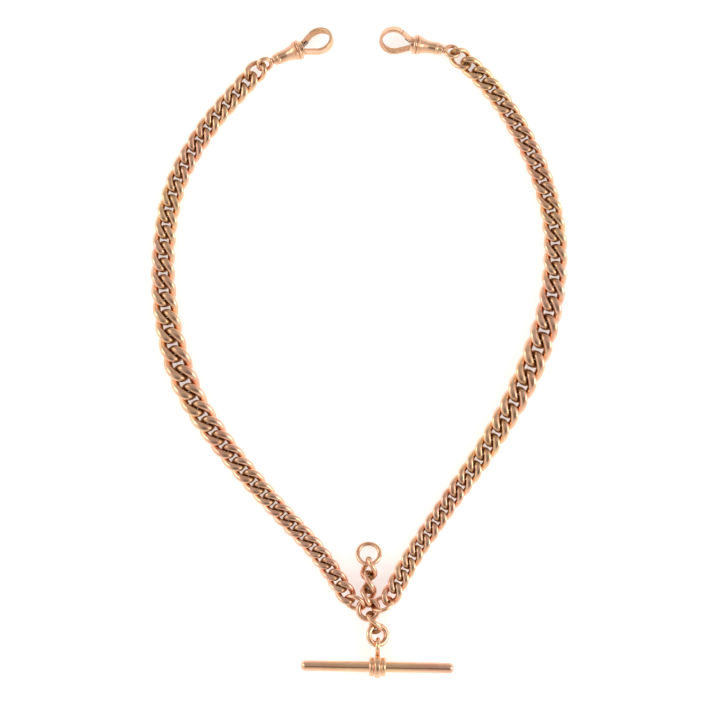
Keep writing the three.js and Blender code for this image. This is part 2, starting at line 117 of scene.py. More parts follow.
WALL_GLOW = 1.0
WALL_TINT = (1.0, 0.98, 0.93, 1)
ROOF_TINT = (1.0, 0.93, 0.9, 1)
roof = tent_patch((0, 0, 1), 15, 75, 0.0)
glow = tent_patch((0, 0, 1), 15, 80, 0.58)
camera_gap = tent_patch((0.06, -0.3, 1), 2, 24, 0.28)
back_wall = tent_patch((0, 1, 0.35), 15, 80, 0.72)
right_lamp = tent_patch((0.55, 0.3, 1), 6, 20, 1.75)
left_lamp = tent_patch((-0.7, -0.2, 1), 6, 22, 1.5)
for patch in (camera_gap, back_wall, right_lamp, left_lamp):
    product = tent.nodes.new("ShaderNodeMath")
    product.operation = "MULTIPLY"
    tent.links.new(glow, product.inputs[0])
    tent.links.new(patch, product.inputs[1])
    glow = product.outputs[0]
brightness = tent.nodes.new("ShaderNodeMath")
brightness.operation = "MULTIPLY"
tent.links.new(glow, brightness.inputs[0])
brightness.inputs[1].default_value = WALL_GLOW
tent.links.new(brightness.outputs[0], sky.inputs["Strength"])
tint = tent.nodes.new("ShaderNodeMix")
tint.data_type = "RGBA"
tent.links.new(roof, tint.inputs["Factor"])
colour_a, colour_b, colour_out = 6, 7, 2
tint.inputs[colour_a].default_value = ROOF_TINT
tint.inputs[colour_b].default_value = WALL_TINT
tent.links.new(tint.outputs[colour_out], sky.inputs["Color"])
PANELS = {
    "panel_left": {"at": (-0.75, 0.2, 0.5), "size": (0.4, 0.8), "power": 1.6},
    "panel_right": {"at": (0.8, -0.1, 0.45), "size": (0.4, 0.8), "power": 2.4},
}
for panel_name, panel in PANELS.items():
    light_data = bpy.data.lights.new(panel_name, "AREA")
    light_data.shape = "RECTANGLE"
    light_data.size, light_data.size_y = panel["size"]
    light_data.energy = panel["power"]
    light = bpy.data.objects.new(panel_name, light_data)
    light.location = panel["at"]
    light.rotation_mode = "QUATERNION"
    light.rotation_quaternion = Vector(panel["at"]).to_track_quat("Z", "Y")
    bpy.context.scene.collection.objects.link(light)

# ---- Polished rose gold ----
# Nine carat gold with plenty of copper: a peach pink metal, cloudy where it is handled, with hair scratches
# and a brown painted shade in the hollows and on inner faces, where shade falls between the parts.


def polished_metal(name, light, deep, yellow, shade_colour, sheen, scratch_scale, scratch_depth):
    """Metal mixing three colours in soft clouds, with painted shade where the hollow value is high."""
    material = bpy.data.materials.new(name)
    material.use_nodes = True
    tree = material.node_tree
    shader = tree.nodes["Principled BSDF"]
    shader.inputs["Metallic"].default_value = 1.0

    def node(kind, **inputs):
        made = tree.nodes.new(kind)
        for socket, value in inputs.items():
            target = made.inputs[socket.replace("_", " ")]
            if isinstance(value, bpy.types.NodeSocket):
                tree.links.new(value, target)
            else:
                target.default_value = value
        return made

    def spread(value, low, high, new_low, new_high):
        made = node("ShaderNodeMapRange")
        tree.links.new(value, made.inputs["Value"])
        ends = {"From Min": low, "From Max": high, "To Min": new_low, "To Max": new_high}
        for socket, number in ends.items():
            made.inputs[socket].default_value = number
        return made.outputs["Result"]

    def blended(amount, first, second):
        made = tree.nodes.new("ShaderNodeMix")
        made.data_type = "RGBA"
        tree.links.new(amount, made.inputs["Factor"])
        for socket, value in ((made.inputs[colour_a], first), (made.inputs[colour_b], second)):
            if isinstance(value, bpy.types.NodeSocket):
                tree.links.new(value, socket)
            else:
                socket.default_value = (*value, 1)
        return made.outputs[colour_out]

    def sum_of(*values):
        total = values[0]
        for value in values[1:]:
            made = tree.nodes.new("ShaderNodeMath")
            made.operation = "ADD"
            tree.links.new(total, made.inputs[0])
            tree.links.new(value, made.inputs[1])
            total = made.outputs[0]
        return total

    place = node("ShaderNodeTexCoord").outputs["Object"]
    cloud = node("ShaderNodeTexNoise", Vector=place, Scale=240.0, Detail=5.0, Roughness=0.6).outputs["Fac"]
    broad = node("ShaderNodeTexNoise", Vector=place, Scale=45.0, Detail=2.0).outputs["Fac"]
    along = node("ShaderNodeMapping", Vector=place, Scale=scratch_scale, Rotation=(0.0, 0.0, 0.35))
    hair = node("ShaderNodeTexNoise", Vector=along.outputs["Vector"], Scale=1.0, Detail=3.0, Roughness=0.7)
    across = node("ShaderNodeMapping", Vector=place, Scale=scratch_scale, Rotation=(0.2, 0.1, 2.1))
    hair_two = node("ShaderNodeTexNoise", Vector=across.outputs["Vector"], Scale=1.0, Detail=3.0,
                    Roughness=0.7)
    dents = node("ShaderNodeTexNoise", Vector=place, Scale=900.0, Detail=2.0).outputs["Fac"]
    hollow_shade = tree.nodes.new("ShaderNodeAttribute")
    hollow_shade.attribute_name = "hollow_shade"
    grains = node("ShaderNodeTexNoise", Vector=place, Scale=1600.0, Detail=4.0).outputs["Fac"]

    gold = blended(spread(cloud, 0.35, 0.65, 0.0, 1.0), light, deep)
    gold = blended(spread(broad, 0.42, 0.7, 0.0, 0.6), gold, yellow)
    # Painted shade: the hollow value, broken up by fine grain, mixes in the shade colour and roughens the
    # metal.
    shade_amount = node("ShaderNodeMath")
    shade_amount.operation = "MULTIPLY"
    tree.links.new(hollow_shade.outputs["Fac"], shade_amount.inputs[0])
    tree.links.new(spread(grains, 0.3, 0.7, 0.55, 1.0), shade_amount.inputs[1])
    coloured = blended(shade_amount.outputs[0], gold, shade_colour)
    tree.links.new(coloured, shader.inputs["Base Color"])
    rough = sum_of(spread(cloud, 0.3, 0.7, sheen - 0.03, sheen + 0.05),
                   spread(hair.outputs["Fac"], 0.45, 0.7, 0.0, 0.07),
                   spread(shade_amount.outputs[0], 0.0, 1.0, 0.0, 0.22))
    tree.links.new(rough, shader.inputs["Roughness"])
    height = sum_of(spread(hair.outputs["Fac"], 0.5, 0.68, 0.0, 1.0),
                    spread(hair_two.outputs["Fac"], 0.5, 0.68, 0.0, 0.8),
                    spread(dents, 0.3, 0.7, 0.0, 1.2), spread(cloud, 0.3, 0.7, 0.0, 2.0))
    bump = node("ShaderNodeBump", Height=height, Strength=0.35, Distance=scratch_depth)
    tree.links.new(bump.outputs["Normal"], shader.inputs["Normal"])
    return material


GOLD_LIGHT = (0.93, 0.59, 0.425)
GOLD_DEEP = (0.82, 0.44, 0.305)
GOLD_YELLOW = (0.90, 0.62, 0.33)
# The brown of the painted shade in hollows and on inner faces.
HOLLOW_SHADE_COLOUR = (0.34, 0.17, 0.045)


def rose_gold(name, sheen, scratch_scale, scratch_depth):
    return polished_metal(name, GOLD_LIGHT, GOLD_DEEP, GOLD_YELLOW, HOLLOW_SHADE_COLOUR, sheen, scratch_scale, scratch_depth)


chain_gold = rose_gold("polished_chain_gold", 0.17, (500.0, 4200.0, 4200.0), 8e-6)

# ---- Curb links ----
# Each link is a round wire bent to a squared oval and soldered, then twisted about the chain's line so that
# the links lie flat on each other. Pressing flattens its top and underside and spreads the wire a little, so
# the finished link is wider and thicker than the plain one that its resting height comes from.
LINK_PLAY = 0.2
VISIBLE_PLAY = 0.1
CURB_LINKS = 38
LINKS_IN_RUN = 3
LARGEST_LINK = 20.5
LARGEST = {"pitch": 5.06, "width": 6.9, "wire": 2.0}
PRESSED_LINK = {"pitch": 5.06, "width": 7.2, "wire": 2.24}
CLIP_END_SCALE = 0.725
CENTRE_END_SCALE = 0.69
TAPER_POWER = 2.6
LINK_TWIST = math.radians(-108)
PRESSED_TWIST = math.radians(-114)
LINK_SQUARENESS = 2.5
PRESSED_SQUARENESS = 2.8
PRESSED_FLAT = 0.07
PRESSED_ROUNDING = 0.55


def new_tree(name, numbers):
    tree = bpy.data.node_groups.new(name, "GeometryNodeTree")
    tree.interface.new_socket(name="Places", in_out="INPUT", socket_type="NodeSocketGeometry")
    for label in numbers:
        tree.interface.new_socket(name=label, in_out="INPUT", socket_type="NodeSocketFloat")
    for label in ("Steps along", "Steps around"):
        tree.interface.new_socket(name=label, in_out="INPUT", socket_type="NodeSocketInt")
    tree.interface.new_socket(name="Metal", in_out="INPUT", socket_type="NodeSocketMaterial")
    tree.interface.new_socket(name="Links", in_out="OUTPUT", socket_type="NodeSocketGeometry")
    return tree


link_tree = new_tree("twisted_link", (
    "Pitch", "Width", "Wire", "Play", "Twist", "Squareness", "Pressed flat"))
given = link_tree.nodes.new("NodeGroupInput").outputs


def put(value, socket):
    if isinstance(value, bpy.types.NodeSocket):
        link_tree.links.new(value, socket)
    else:
        socket.default_value = value


def step(kind, settings=None, **inputs):
    made = link_tree.nodes.new(kind)
    for key, value in (settings or {}).items():
        setattr(made, key, value)
    for label, value in inputs.items():
        put(value, made.inputs[label.replace("_", " ")])
    return made


def sum_node(operation, *values):
    made = step("ShaderNodeMath", {"operation": operation})
    for socket, value in zip(made.inputs, values):
        put(value, socket)
    return made.outputs[0]


def squared_part(wave):
    size = sum_node("POWER", sum_node("ABSOLUTE", wave), sum_node("DIVIDE", 2.0, given["Squareness"]))
    return sum_node("MULTIPLY", sum_node("SIGN", wave), size)


FINE = 4
circle = step("GeometryNodeCurvePrimitiveCircle", Radius=1.0)
put(sum_node("MULTIPLY", given["Steps along"], float(FINE)), circle.inputs["Resolution"])
share = sum_node("DIVIDE", step("GeometryNodeInputIndex").outputs[0],
                 sum_node("MULTIPLY", given["Steps along"], float(FINE)))
angle = sum_node("MULTIPLY", share, 2 * math.pi)
wire_length = sum_node("ADD", sum_node("ADD", given["Pitch"], given["Wire"]), given["Play"])
half_length = sum_node("DIVIDE", wire_length, 2.0)
half_width = sum_node("DIVIDE", sum_node("SUBTRACT", given["Width"], given["Wire"]), 2.0)
forward_share = squared_part(sum_node("COSINE", angle))
sideways = sum_node("MULTIPLY", half_width, squared_part(sum_node("SINE", angle)))
turn_here = sum_node("MULTIPLY", sum_node("DIVIDE", given["Twist"], 2.0), forward_share)
point = step("ShaderNodeCombineXYZ", X=sum_node("MULTIPLY", half_length, forward_share),
             Y=sum_node("MULTIPLY", sideways, sum_node("COSINE", turn_here)),
             Z=sum_node("MULTIPLY", sideways, sum_node("SINE", turn_here)))
oval = step("GeometryNodeSetPosition", Geometry=circle.outputs[0], Position=point.outputs[0])
even = step("GeometryNodeResampleCurve", {"mode": "COUNT"}, Curve=oval.outputs[0], Count=given["Steps along"])
wire_round = step("GeometryNodeCurvePrimitiveCircle", Resolution=given["Steps around"],
                  Radius=sum_node("DIVIDE", given["Wire"], 2.0))
bent_wire = step("GeometryNodeCurveToMesh", Curve=even.outputs[0], Profile_Curve=wire_round.outputs[0])
here = step("ShaderNodeSeparateXYZ", Vector=step("GeometryNodeInputPosition").outputs[0]).outputs
soft_edge = sum_node("MULTIPLY", given["Wire"], PRESSED_ROUNDING)
limit = given["Pressed flat"]
pressed = sum_node("SMOOTH_MIN", here["Z"], limit, soft_edge)
pressed = sum_node("SMOOTH_MAX", pressed, sum_node("MULTIPLY", limit, -1.0), soft_edge)
flattened = step("GeometryNodeSetPosition", Geometry=bent_wire.outputs[0],
                 Position=step("ShaderNodeCombineXYZ", X=here["X"], Y=here["Y"], Z=pressed).outputs[0])
# The inner half of each wire, facing the link's hole where the next link passes, is stored as painted shade.
from_middle = sum_node("SQRT", sum_node("ADD", sum_node("MULTIPLY", here["Y"], here["Y"]),
                                        sum_node("MULTIPLY", here["Z"], here["Z"])))
inside = sum_node("SUBTRACT", sum_node("DIVIDE", given["Width"], 2.0), given["Wire"])
depth = sum_node("DIVIDE", sum_node("SUBTRACT", from_middle, inside), given["Wire"])
inner_shade = step("ShaderNodeMapRange", {"interpolation_type": "SMOOTHSTEP"}, Value=depth, From_Min=0.52,
              From_Max=-0.05, To_Min=0.0, To_Max=1.0)
marked = step("GeometryNodeStoreNamedAttribute", {"data_type": "FLOAT", "domain": "POINT"},
              Geometry=flattened.outputs[0], Name="hollow_shade", Value=inner_shade.outputs[0])
smooth = step("GeometryNodeSetShadeSmooth", Geometry=marked.outputs[0])
facing = step("FunctionNodeAxesToRotation", {"primary_axis": "Z", "secondary_axis": "X"})
for axis, label in ((0, "up"), (1, "forward")):
    stored = step("GeometryNodeInputNamedAttribute", {"data_type": "FLOAT_VECTOR"}, Name=label)
    link_tree.links.new(stored.outputs[0], facing.inputs[axis])
sized = step("GeometryNodeInputNamedAttribute", {"data_type": "FLOAT"}, Name="size")
laid = step("GeometryNodeInstanceOnPoints", Points=given["Places"], Instance=smooth.outputs[0],
            Rotation=facing.outputs[0])
link_tree.links.new(sized.outputs[0], laid.inputs["Scale"])
real = step("GeometryNodeRealizeInstances", Geometry=laid.outputs[0])
finished = step("GeometryNodeSetMaterial", Geometry=real.outputs[0], Material=given["Metal"])
link_tree.links.new(finished.outputs[0], link_tree.nodes.new("NodeGroupOutput").inputs[0])

twist_rise = 0.0
for degree in range(90):
    across_share = math.sin(math.radians(degree)) ** (2 / LINK_SQUARENESS)
    along_share = math.cos(math.radians(degree)) ** (2 / LINK_SQUARENESS)
    twist_rise = max(twist_rise, across_share * abs(math.sin(LINK_TWIST / 2 * along_share)))


def half_height(size):
    return twist_rise * (size["width"] - size["wire"]) / 2 + size["wire"] / 2 - PRESSED_FLAT * size["wire"]


def adopt(piece, body, nodes):
    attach(piece, body)
    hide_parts(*nodes)


def make_links(name, size, places, body, metal, rest, twist=LINK_TWIST, squareness=LINK_SQUARENESS,
               steps=(88, 28)):
    """places holds (middle, forward, up, scale) of each link, in millimetres, and rest its half height."""
    mesh = bpy.data.meshes.new(name + "_places")
    mesh.from_pydata([middle * MM for middle, *_ in places], [], [])
    columns = (("forward", "FLOAT_VECTOR", 1), ("up", "FLOAT_VECTOR", 2), ("size", "FLOAT", 3))
    for label, kind, column in columns:
        layer = mesh.attributes.new(label, kind, "POINT")
        for item, place in zip(layer.data, places):
            if kind == "FLOAT":
                item.value = place[column]
            else:
                item.vector = place[column]
    piece = bpy.data.objects.new(name, mesh)
    bpy.context.scene.collection.objects.link(piece)
    modifier = piece.modifiers.new("links", "NODES")
    modifier.node_group = link_tree
    values = {
        "Pitch": size["pitch"] * MM, "Width": size["width"] * MM, "Wire": size["wire"] * MM,
        "Play": VISIBLE_PLAY * MM, "Twist": twist, "Squareness": squareness,
        "Pressed flat": rest * MM, "Steps along": steps[0], "Steps around": steps[1], "Metal": metal,
    }
    for item in link_tree.interface.items_tree:
        if item.in_out == "INPUT" and item.name in values:
            modifier[item.identifier] = values[item.name]
    graph = bpy.context.evaluated_depsgraph_get()
    made = bpy.data.meshes.new_from_object(piece.evaluated_get(graph), depsgraph=graph)
    piece.modifiers.clear()
    piece.data = made
    for label in ("forward", "up", "size"):
        if label in made.attributes:
            made.attributes.remove(made.attributes[label])
    face_outwards(made)
    made.name = name
    adopt(piece, body, [body])
    return piece


def face_outwards(mesh):
    """Turns the faces round if the closed mesh is inside out."""
    mesh.calc_loop_triangles()
    points = np.zeros(len(mesh.vertices) * 3)
    mesh.vertices.foreach_get("co", points)
    points = points.reshape(-1, 3)
    corners = np.zeros(len(mesh.loop_triangles) * 3, dtype=np.int64)
    mesh.loop_triangles.foreach_get("vertices", corners)
    a, b, c = (points[corners.reshape(-1, 3)[:, k]] for k in range(3))
    volume = np.einsum("ij,ij->i", a, np.cross(b, c)).sum()
    if volume < 0:
        mesh.flip_normals()


# ---- Centre ring and jump rings ----
# Plain rings of round gold wire, one at the centre and one at the end of each chain. Each is bent round a
# mandrel and closed with a soldered butt seam that shows as a faint groove.
CENTRE_RING = {"outer": 6.3, "wire": 1.35}
JUMP_RING = {"outer": 6.1, "wire": 1.1}
JUMP_RING_TILT = -55
# Painted shade on the inner faces of rings: how much, where it starts and how fast it spreads; and how
# strongly dips are shaded.
RING_SHADE = 0.45
SHADE_START, SHADE_SPREAD = 0.35, 0.4
HOLLOW_GAIN = 2.2
SEAM_DEPTH, SEAM_WIDTH = 0.05, 0.16
CENTRE_SEAM = 215
ring_gold = rose_gold("polished_ring_gold", 0.16, (600.0, 3600.0, 3600.0), 4e-6)
low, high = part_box("centre_ring")
CENTRE = (low + high) / 2 / MM


def pull_radius(ring):
    """How far from the ring's middle the next link's wire bears on it."""
    return ring["outer"] / 2 - ring["wire"] - LINK_PLAY / 2


def towards(heading, fall):
    h, f = math.radians(heading), math.radians(fall)
    return Vector((math.cos(f) * math.cos(h), math.cos(f) * math.sin(h), -math.sin(f)))


def lying(middle, heading, fall, tilt):
    """A place in millimetres: turned by tilt about X, then fall about Y, then heading about Z."""
    return (Matrix.Translation(middle) @ Matrix.Rotation(math.radians(heading), 4, "Z")
            @ Matrix.Rotation(math.radians(fall), 4, "Y") @ Matrix.Rotation(math.radians(tilt), 4, "X"))


def grid_mesh(name, loops, place, metal, caps=False):
    """Joins equal closed loops of points, in order, into one tube, round to its start or with closed ends."""
    count = len(loops[0])
    vertices = [place @ Vector(p) * MM for loop in loops for p in loop]
    faces = []
    last = len(loops) - 1 if caps else len(loops)
    for i in range(last):
        j = (i + 1) % len(loops)
        for k in range(count):
            n = (k + 1) % count
            faces.append((i * count + k, i * count + n, j * count + n, j * count + k))
    if caps:
        faces.append(tuple(range(count)))
        faces.append(tuple(reversed(range((len(loops) - 1) * count, len(loops) * count))))
    mesh = bpy.data.meshes.new(name)
    mesh.from_pydata(vertices, [], faces)
    mesh.shade_smooth()
    face_outwards(mesh)
    mesh.materials.append(metal)
    return mesh


def ring_mesh(name, ring, place, metal, seam, around=28, along=112):
    """A round wire ring, with its soldered seam at the given angle in degrees."""
    middle_radius = (ring["outer"] - ring["wire"]) / 2
    loops = []
    for i in range(along):
        turn = 2 * math.pi * i / along
        from_seam = math.remainder(turn - math.radians(seam), 2 * math.pi) * middle_radius
        wire_radius = ring["wire"] / 2 * (1 - SEAM_DEPTH * math.exp(-(from_seam / SEAM_WIDTH) ** 2))
        loops.append([
            ((middle_radius + wire_radius * math.cos(t)) * math.cos(turn),
             (middle_radius + wire_radius * math.cos(t)) * math.sin(turn), wire_radius * math.sin(t))
            for t in (2 * math.pi * k / around for k in range(around))])
    return grid_mesh(name, loops, place, metal)


def shade_hollows(mesh, strength=9.0, passes=4):
    """Stores how far each point lies in a dip of its surface, as the strength of the painted shade there."""
    count = len(mesh.vertices)
    points, normals = np.zeros(count * 3), np.zeros(count * 3)
    mesh.vertices.foreach_get("co", points)
    mesh.vertices.foreach_get("normal", normals)
    points, normals = points.reshape(-1, 3), normals.reshape(-1, 3)
    edges = np.zeros(len(mesh.edges) * 2, dtype=np.int64)
    mesh.edges.foreach_get("vertices", edges)
    ends = np.concatenate([edges.reshape(-1, 2), edges.reshape(-1, 2)[:, ::-1]])
    way = points[ends[:, 1]] - points[ends[:, 0]]
    way /= np.maximum(np.linalg.norm(way, axis=1, keepdims=True), 1e-9)
    rise = np.einsum("ij,ij->i", way, normals[ends[:, 0]])
    near = np.maximum(np.bincount(ends[:, 0], minlength=count), 1)
    rises = np.bincount(ends[:, 0], weights=np.clip(rise, 0, None), minlength=count)
    dip = np.clip(rises / near * strength, 0, 1)
    for _ in range(passes):
        dip = 0.5 * dip + 0.5 * np.bincount(ends[:, 0], weights=dip[ends[:, 1]], minlength=count) / near
    layer = mesh.attributes.get("hollow_shade") or mesh.attributes.new("hollow_shade", "FLOAT", "POINT")
    layer.data.foreach_set("value", np.clip(dip * HOLLOW_GAIN, 0, 1).astype(np.float32))


def shade_inside(mesh, middle, amount):
    """Adds painted shade where the surface faces the middle of a ring, where shade falls inside it."""
    count = len(mesh.vertices)
    points, normals, shade_amount = np.zeros(count * 3), np.zeros(count * 3), np.zeros(count)
    mesh.vertices.foreach_get("co", points)
    mesh.vertices.foreach_get("normal", normals)
    mesh.attributes["hollow_shade"].data.foreach_get("value", shade_amount)
    inwards = np.array(middle * MM) - points.reshape(-1, 3)
    inwards /= np.linalg.norm(inwards, axis=1, keepdims=True)
    facing = np.einsum("ij,ij->i", inwards, normals.reshape(-1, 3))
    facing = np.clip((facing - SHADE_START) / SHADE_SPREAD, 0, 1)
    mesh.attributes["hollow_shade"].data.foreach_set("value", np.maximum(shade_amount, facing * amount).astype(np.float32))


def add_piece(mesh, body, nodes, middle=None):
    shade_hollows(mesh)
    # Rings also get painted shade on the faces towards their middle.
    if middle:
        shade_inside(mesh, middle, RING_SHADE)
    piece = bpy.data.objects.new(mesh.name, mesh)
    bpy.context.scene.collection.objects.link(piece)
    adopt(piece, body, nodes)
    return piece


def pull_on(place, ring, bend):
    turn = math.radians(bend)
    return place @ (Vector((math.cos(turn), math.sin(turn), 0)) * pull_radius(ring))


centre_place = lying(CENTRE, 0, 0, 0)
add_piece(ring_mesh("centre_ring_wire", CENTRE_RING, centre_place, ring_gold, CENTRE_SEAM), "centre_ring",
          ["centre_ring"], CENTRE)

# ---- The two curb chains ----
# Each is a string of solid curb links that grow from the clip towards the middle of the side and shrink again
# to the centre. The chain bends at every third joint, and each run of links between is one piece.
SIDES = {
    "left": {
        "ring_heading": 154, "ring_bend": -20, "ring_seam": 95,
        "route": [(0, 0), (-7.5, 11), (-18.5, 23), (-30, 36.5), (-39.5, 50.5), (-45, 67), (-46.5, 85),
                  (-43.5, 103), (-35.5, 117.5), (-27, 127.5), (-22, 133)],
        "clip_heading": 23, "eye_bend": 0, "gate_up": False,
    },
    "right": {
        "ring_heading": 21, "ring_bend": 15, "ring_seam": 250,
        "route": [(0, 0), (6, 11), (15.5, 25), (25.5, 39.5), (34.5, 56), (40, 72), (41.5, 90), (38.5, 104),
                  (31.5, 119), (22.5, 131), (16.5, 136)],
        "clip_heading": 169.5, "eye_bend": 35, "gate_up": True,
    },
}
END_LINK = {"pitch": 3.8, "width": 5.4, "wire": 1.25}
LANDING_LINKS = 6
ROUTE_STEPS = 800
EYE_ROLL = 36
CLIP_EYE = {"outer": 4.3, "wire": 1.05}
BARREL_START, BARREL_END, BARREL_BEAD = 2.4, 9.8, 2.55
CLIP_ROLL = math.radians(35)
LOOP_RADIUS, LOOP_LENGTH = 3.2, 8.6
STRIP_THICKNESS, STRIP_WIDTH = 0.8, 2.0
LOOP_TIP = BARREL_END + LOOP_LENGTH
LOOP_MIDDLE = LOOP_TIP - LOOP_RADIUS - STRIP_THICKNESS / 2
loop_rest = (LOOP_RADIUS + STRIP_THICKNESS / 2) * math.sin(CLIP_ROLL) + STRIP_WIDTH / 2 * math.cos(CLIP_ROLL)
CLIP_RISE = math.atan((loop_rest - BARREL_BEAD) / (LOOP_MIDDLE - BARREL_END + 1))
CLIP_EYE_HEIGHT = BARREL_BEAD - math.tan(CLIP_RISE) * (BARREL_END - 1)


def chain_sizes():
    sizes = []
    for number in range(CURB_LINKS, 0, -1):
        to_clip = number < LARGEST_LINK
        end_scale = CLIP_END_SCALE if to_clip else CENTRE_END_SCALE
        span = LARGEST_LINK - 1 if to_clip else CURB_LINKS - LARGEST_LINK
        nearness = 1 - min(1, abs(number - LARGEST_LINK) / span)
        scale = end_scale + (1 - end_scale) * nearness ** TAPER_POWER
        scaled = {key: value * scale for key, value in LARGEST.items()}
        sizes.append({"number": number, "scale": scale, **scaled})
    return [*sizes, {"number": 0, "scale": 1.0, **END_LINK}]


def route_points(corners, steps):
    """Points along a centripetal spline through the corners, evenly stepped in its own measure."""
    corners = [np.array(c, float) for c in corners]
    corners = [2 * corners[0] - corners[1], *corners, 2 * corners[-1] - corners[-2]]
    spans = len(corners) - 3
    points = []
    for i in range(steps + 1):
        measure = spans * i / steps
        first = min(int(measure), spans - 1)
        w = measure - first
        p0, p1, p2, p3 = corners[first:first + 4]
        d0, d1, d2 = (math.sqrt(np.linalg.norm(b - a)) for a, b in ((p0, p1), (p1, p2), (p2, p3)))
        t1 = ((p1 - p0) / d0 - (p2 - p0) / (d0 + d1) + (p2 - p1) / d1) * d1
        t2 = ((p2 - p1) / d1 - (p3 - p1) / (d1 + d2) + (p3 - p2) / d2) * d1
        points.append(p1 + t1 * w + (-3 * p1 + 3 * p2 - 2 * t1 - t2) * w ** 2
                      + (2 * p1 - 2 * p2 + t1 + t2) * w ** 3)
    return np.array(points)


def eye_contact(side):
    reach = (CLIP_EYE["outer"] - CLIP_EYE["wire"]) / 2 - (CLIP_EYE["wire"] + LINK_PLAY) / 2
    bend, roll = math.radians(side["eye_bend"]), math.radians(EYE_ROLL)
    return Vector((-math.cos(bend), math.sin(bend) * math.cos(roll), math.sin(bend) * math.sin(roll))) * reach


# Heights are worked out from the card, then shifted so that the chain's lowest wire just meets it.
CENTRE_HEIGHT = 2.62
GROUND_SHIFT = CENTRE.z - CENTRE_HEIGHT


def touching_points(side, sizes, start):
    drawn = route_points(side["route"], ROUTE_STEPS)
    travelled = np.concatenate([[0], np.cumsum(np.linalg.norm(np.diff(drawn, axis=0), axis=1))])
    length = sum(size["pitch"] for size in sizes)
    scale = length / travelled[-1]
    points = []
    so_far = 0.0
    for i in range(len(sizes) + 1):
        nearest = sizes[min(i, len(sizes) - 1)]
        measure = min(1.0, so_far / length) * travelled[-1]
        x, y = (np.interp(measure, travelled, drawn[:, k]) * scale for k in (0, 1))
        landed = min(1.0, i / LANDING_LINKS)
        landed = landed * landed * (3 - 2 * landed)
        height = start.z + (half_height(nearest) + GROUND_SHIFT - start.z) * landed
        points.append(Vector((start.x + x, start.y + y, height)))
        so_far += nearest["pitch"]
    points[-1].z = CLIP_EYE_HEIGHT + eye_contact(side).z + GROUND_SHIFT
    return points


def along_axes(start, end, roll=0.0):
    forward = (end - start).normalized()
    side_way = Vector((0, 0, 1)).cross(forward).normalized()
    up = forward.cross(side_way)
    turn = math.radians(roll)
    return forward, up * math.cos(turn) - side_way * math.sin(turn)


for side_name, side in SIDES.items():
    ring_name = f"{side_name}_jump_ring"
    out = towards(side["ring_heading"], 0)
    ring_middle = CENTRE + out * (pull_radius(CENTRE_RING) + pull_radius(JUMP_RING) + LINK_PLAY)
    ring_place = lying(ring_middle, side["ring_heading"], 0, JUMP_RING_TILT)
    add_piece(ring_mesh(ring_name + "_wire", JUMP_RING, ring_place, ring_gold, side["ring_seam"]),
              ring_name, [ring_name], ring_middle)
    sizes = chain_sizes()
    points = touching_points(side, sizes, pull_on(ring_place, JUMP_RING, side["ring_bend"]))
    side["chain_end"] = points[-1]
    run = []
    runs_left = math.ceil(CURB_LINKS / LINKS_IN_RUN)
    for size, start, end in zip(sizes, points, points[1:]):
        run.append(((start + end) / 2, *along_axes(start, end), size["scale"]))
        if size["number"] == 0:
            make_links(f"{side_name}_clip_end_link", END_LINK, run, f"{side_name}_end_link",
                       chain_gold, half_height(END_LINK))
        elif size["number"] % LINKS_IN_RUN == 1:
            body = f"{side_name}_curb_run_{runs_left:02d}"
            make_links(f"{side_name}_curb_links_{runs_left:02d}", PRESSED_LINK, run, body,
                       chain_gold, half_height(LARGEST), PRESSED_TWIST, PRESSED_SQUARENESS)
            runs_left -= 1
            run = []

# ---- Fob drop ----
# Three short links of soldered gold wire run from the centre ring, each rolled against the last. They carry a
# plain round ring that a fob or charm hangs from.
FOB_LINK = {"pitch": 3.4, "width": 5.0, "wire": 1.25}
FOB_RING = {"outer": 6.6, "wire": 1.1}
fob_heading, fob_turn, fob_fall, fob_rolls, fob_ring_fall = 89, 0.5, 0.5, (58, 94, 130), 24
FOB_SEAM = -60
start = CENTRE + towards(fob_heading, 0) * pull_radius(CENTRE_RING)
for i, roll in enumerate(fob_rolls):
    end = start + towards(fob_heading + i * fob_turn, fob_fall) * FOB_LINK["pitch"]
    link_name = f"fob_link_{len(fob_rolls) - i}"
    make_links(link_name + "_wire", FOB_LINK, [((start + end) / 2, *along_axes(start, end, roll), 1.0)],
               link_name, ring_gold, half_height(FOB_LINK))
    start = end
ring_heading = fob_heading + len(fob_rolls) * fob_turn
fob_ring_place = lying(start + towards(ring_heading, fob_ring_fall) * pull_radius(FOB_RING), ring_heading,
                       fob_ring_fall, 0)
add_piece(ring_mesh("fob_ring_wire", FOB_RING, fob_ring_place, ring_gold, FOB_SEAM), "fob_ring", ["fob_ring"],
          fob_ring_place.to_translation())

# ---- T-bar drop link and ring ----
# One short link and one stout ring of soldered gold wire join the centre ring to the T-bar's bail, so the bar
# can swing and turn.
T_DROP_LINK = {"pitch": 3.6, "width": 4.7, "wire": 1.2}
T_DROP_RING = {"outer": 6.2, "wire": 1.45}
drop_heading, drop_fall, drop_roll, drop_ring_tilt, drop_ring_bend = -70, 2, 78, -24, -20
DROP_SEAM = 140
start = CENTRE + towards(drop_heading, 0) * pull_radius(CENTRE_RING)
end = start + towards(drop_heading, drop_fall) * T_DROP_LINK["pitch"]
make_links("t_drop_link_wire", T_DROP_LINK, [((start + end) / 2, *along_axes(start, end, drop_roll), 1.0)],
           "t_drop_link", ring_gold, half_height(T_DROP_LINK))
drop_ring_middle = end + towards(drop_heading, 0) * pull_radius(T_DROP_RING)
drop_ring_place = lying(drop_ring_middle, drop_heading, 0, drop_ring_tilt)
add_piece(ring_mesh("t_drop_ring_wire", T_DROP_RING, drop_ring_place, ring_gold, DROP_SEAM), "t_drop_ring",
          ["t_drop_ring"], drop_ring_middle)

